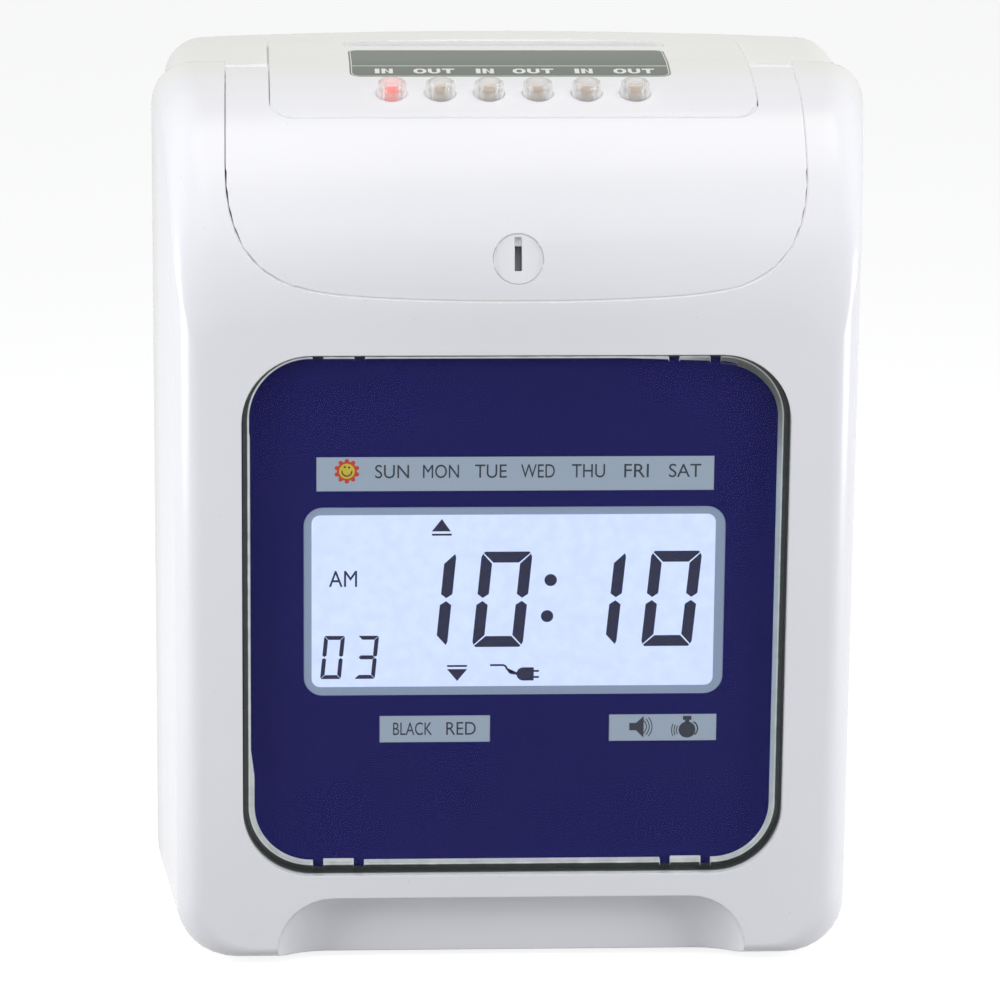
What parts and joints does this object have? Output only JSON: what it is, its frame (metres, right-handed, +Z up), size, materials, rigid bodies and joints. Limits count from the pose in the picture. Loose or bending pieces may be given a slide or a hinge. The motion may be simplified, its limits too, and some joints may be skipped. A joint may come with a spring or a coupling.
{
  "type": "punch card time clock",
  "caption": "Desk or wall time recorder with a top card slot, clear column buttons, a lit display behind a clear window and a locked cover over its belt driven print mechanism.",
  "frame": {"origin": "centre of the bounding box on the desk, under the feet", "axes": "+X to the right seen from the front, -Y out of the front, +Z up"},
  "size_m": [0.204, 0.11, 0.252],
  "materials": {
    "case_white": "glossy moulded ABS",
    "foot_rubber": "matt",
    "steel": "zinc plated sheet and ground rod",
    "lock_metal": "polished",
    "label_grey": "satin print",
    "clear_button": "clear polished acrylic",
    "board_green": "solder mask",
    "black_plastic": "fine texture",
    "lamp_red": "tinted epoxy",
    "window_clear": "clear polished acrylic",
    "panel_blue": "glossy screen print",
    "strip_grey": "translucent print",
    "lcd": "lit display glass",
    "light_white": "white diffuser",
    "platen_rubber": "fine ground rubber",
    "head_metal": "die cast",
    "motor_metal": "zinc plated can",
    "white_nylon": "moulded acetal",
    "belt_rubber": "toothed belt",
    "brass": "machined",
    "battery_green": "heat shrink sleeve",
    "core_steel": "varnished laminations"
  },
  "bodies": {
    "case": {"rear_housing": "case_white", "front_cover": "case_white", "button_panel": "case_white", "feet": "foot_rubber", "case_screws": "steel", "hinge_pins": "steel", "latch_strike": "steel", "frame_left": "steel", "frame_right": "steel", "mechanism_base": "steel", "card_guide_front": "steel", "card_guide_rear": "steel", "carriage_rails": "steel", "idler_post": "steel", "pinch_bracket": "steel", "label_plate": "label_grey", "keypad_board": "board_green", "display_board": "board_green", "main_board": "board_green", "keypad_switches": "black_plastic", "board_parts": "black_plastic", "buzzer": "black_plastic", "power_inlet": "black_plastic", "card_sensor": "black_plastic", "ribbon_cartridge": "black_plastic", "keypad_leds": "lamp_red", "window": "window_clear", "display_panel": "panel_blue", "indicator_strips": "strip_grey", "lcd_glass": "lcd", "backlight": "light_white", "lcd_holder": "light_white", "platen": "platen_rubber", "carriage_motor": "motor_metal", "feed_motor": "motor_metal", "carriage_belt": "belt_rubber", "backup_battery": "battery_green", "transformer": "core_steel"},
    "cover": {"top_cover": "case_white", "lock_body": "lock_metal", "lock_nut": "steel"},
    "lock": {"lock_barrel": "case_white", "lock_cam": "steel"},
    "carriage": {"print_carriage": "black_plastic", "print_head": "head_metal"},
    "drive_pulley": {"motor_pulley": "white_nylon"},
    "return_pulley": {"idler_pulley": "white_nylon"},
    "feed": {"feed_shaft": "steel", "feed_tyres": "platen_rubber", "feed_gear": "white_nylon"},
    "pinch": {"pinch_roller": "platen_rubber"},
    "pinion": {"feed_pinion": "brass"},
    "knob": {"ribbon_knob": "black_plastic"},
    "in_button_1_cap": {"in_button_1": "clear_button"},
    "out_button_1_cap": {"out_button_1": "clear_button"},
    "in_button_2_cap": {"in_button_2": "clear_button"},
    "out_button_2_cap": {"out_button_2": "clear_button"},
    "in_button_3_cap": {"in_button_3": "clear_button"},
    "out_button_3_cap": {"out_button_3": "clear_button"}
  },
  "joints": [
    {"name": "cover_hinge", "type": "hinge", "parent": "case", "child": "cover", "pos_m": [0, 0.002, 0.24615], "axis": [-1, 0, 0], "range_deg": [0, 80]},
    {"name": "lock_turn", "type": "hinge", "parent": "cover", "child": "lock", "pos_m": [0, -0.05208, 0.2068], "axis": [0, 0.9647, -0.2633], "range_deg": [0, 90]},
    {"name": "in_button_1_press", "type": "slide", "parent": "case", "child": "in_button_1_cap", "axis": [0, 0.1478, -0.989], "range_m": [0, 0.001], "stiffness_N_per_m": 400, "springref_m": -0.001},
    {"name": "out_button_1_press", "type": "slide", "parent": "case", "child": "out_button_1_cap", "axis": [0, 0.1478, -0.989], "range_m": [0, 0.001], "stiffness_N_per_m": 400, "springref_m": -0.001},
    {"name": "in_button_2_press", "type": "slide", "parent": "case", "child": "in_button_2_cap", "axis": [0, 0.1478, -0.989], "range_m": [0, 0.001], "stiffness_N_per_m": 400, "springref_m": -0.001},
    {"name": "out_button_2_press", "type": "slide", "parent": "case", "child": "out_button_2_cap", "axis": [0, 0.1478, -0.989], "range_m": [0, 0.001], "stiffness_N_per_m": 400, "springref_m": -0.001},
    {"name": "in_button_3_press", "type": "slide", "parent": "case", "child": "in_button_3_cap", "axis": [0, 0.1478, -0.989], "range_m": [0, 0.001], "stiffness_N_per_m": 400, "springref_m": -0.001},
    {"name": "out_button_3_press", "type": "slide", "parent": "case", "child": "out_button_3_cap", "axis": [0, 0.1478, -0.989], "range_m": [0, 0.001], "stiffness_N_per_m": 400, "springref_m": -0.001},
    {"name": "carriage_slide", "type": "slide", "parent": "case", "child": "carriage", "axis": [1, 0, 0], "range_m": [0, 0.068]},
    {"name": "drive_pulley_spin", "type": "hinge", "parent": "case", "child": "drive_pulley", "pos_m": [-0.054, 0.0078, 0.178], "axis": [0, 0, 1], "range_deg": [-600, 10]},
    {"name": "return_pulley_spin", "type": "hinge", "parent": "case", "child": "return_pulley", "pos_m": [0.054, 0.0078, 0.178], "axis": [0, 0, 1], "range_deg": [-600, 10]},
    {"name": "feed_spin", "type": "hinge", "parent": "case", "child": "feed", "pos_m": [0, 0.0268, 0.165], "axis": [1, 0, 0], "continuous": true},
    {"name": "pinch_spin", "type": "hinge", "parent": "case", "child": "pinch", "pos_m": [0, 0.0398, 0.165], "axis": [1, 0, 0], "continuous": true},
    {"name": "pinion_spin", "type": "hinge", "parent": "case", "child": "pinion", "pos_m": [0.07, 0.01616, 0.15436], "axis": [1, 0, 0], "continuous": true},
    {"name": "knob_spin", "type": "hinge", "parent": "case", "child": "knob", "pos_m": [0.04, -0.022, 0.212], "axis": [0, 0, 1], "continuous": true}
  ],
  "couplings": [
    {"joint": "drive_pulley_spin", "follows": "carriage_slide", "rad_per_m": -149.25},
    {"joint": "return_pulley_spin", "follows": "carriage_slide", "rad_per_m": -149.25},
    {"joint": "pinch_spin", "follows": "feed_spin", "ratio": -2.5},
    {"joint": "pinion_spin", "follows": "feed_spin", "ratio": -2.5714}
  ]
}
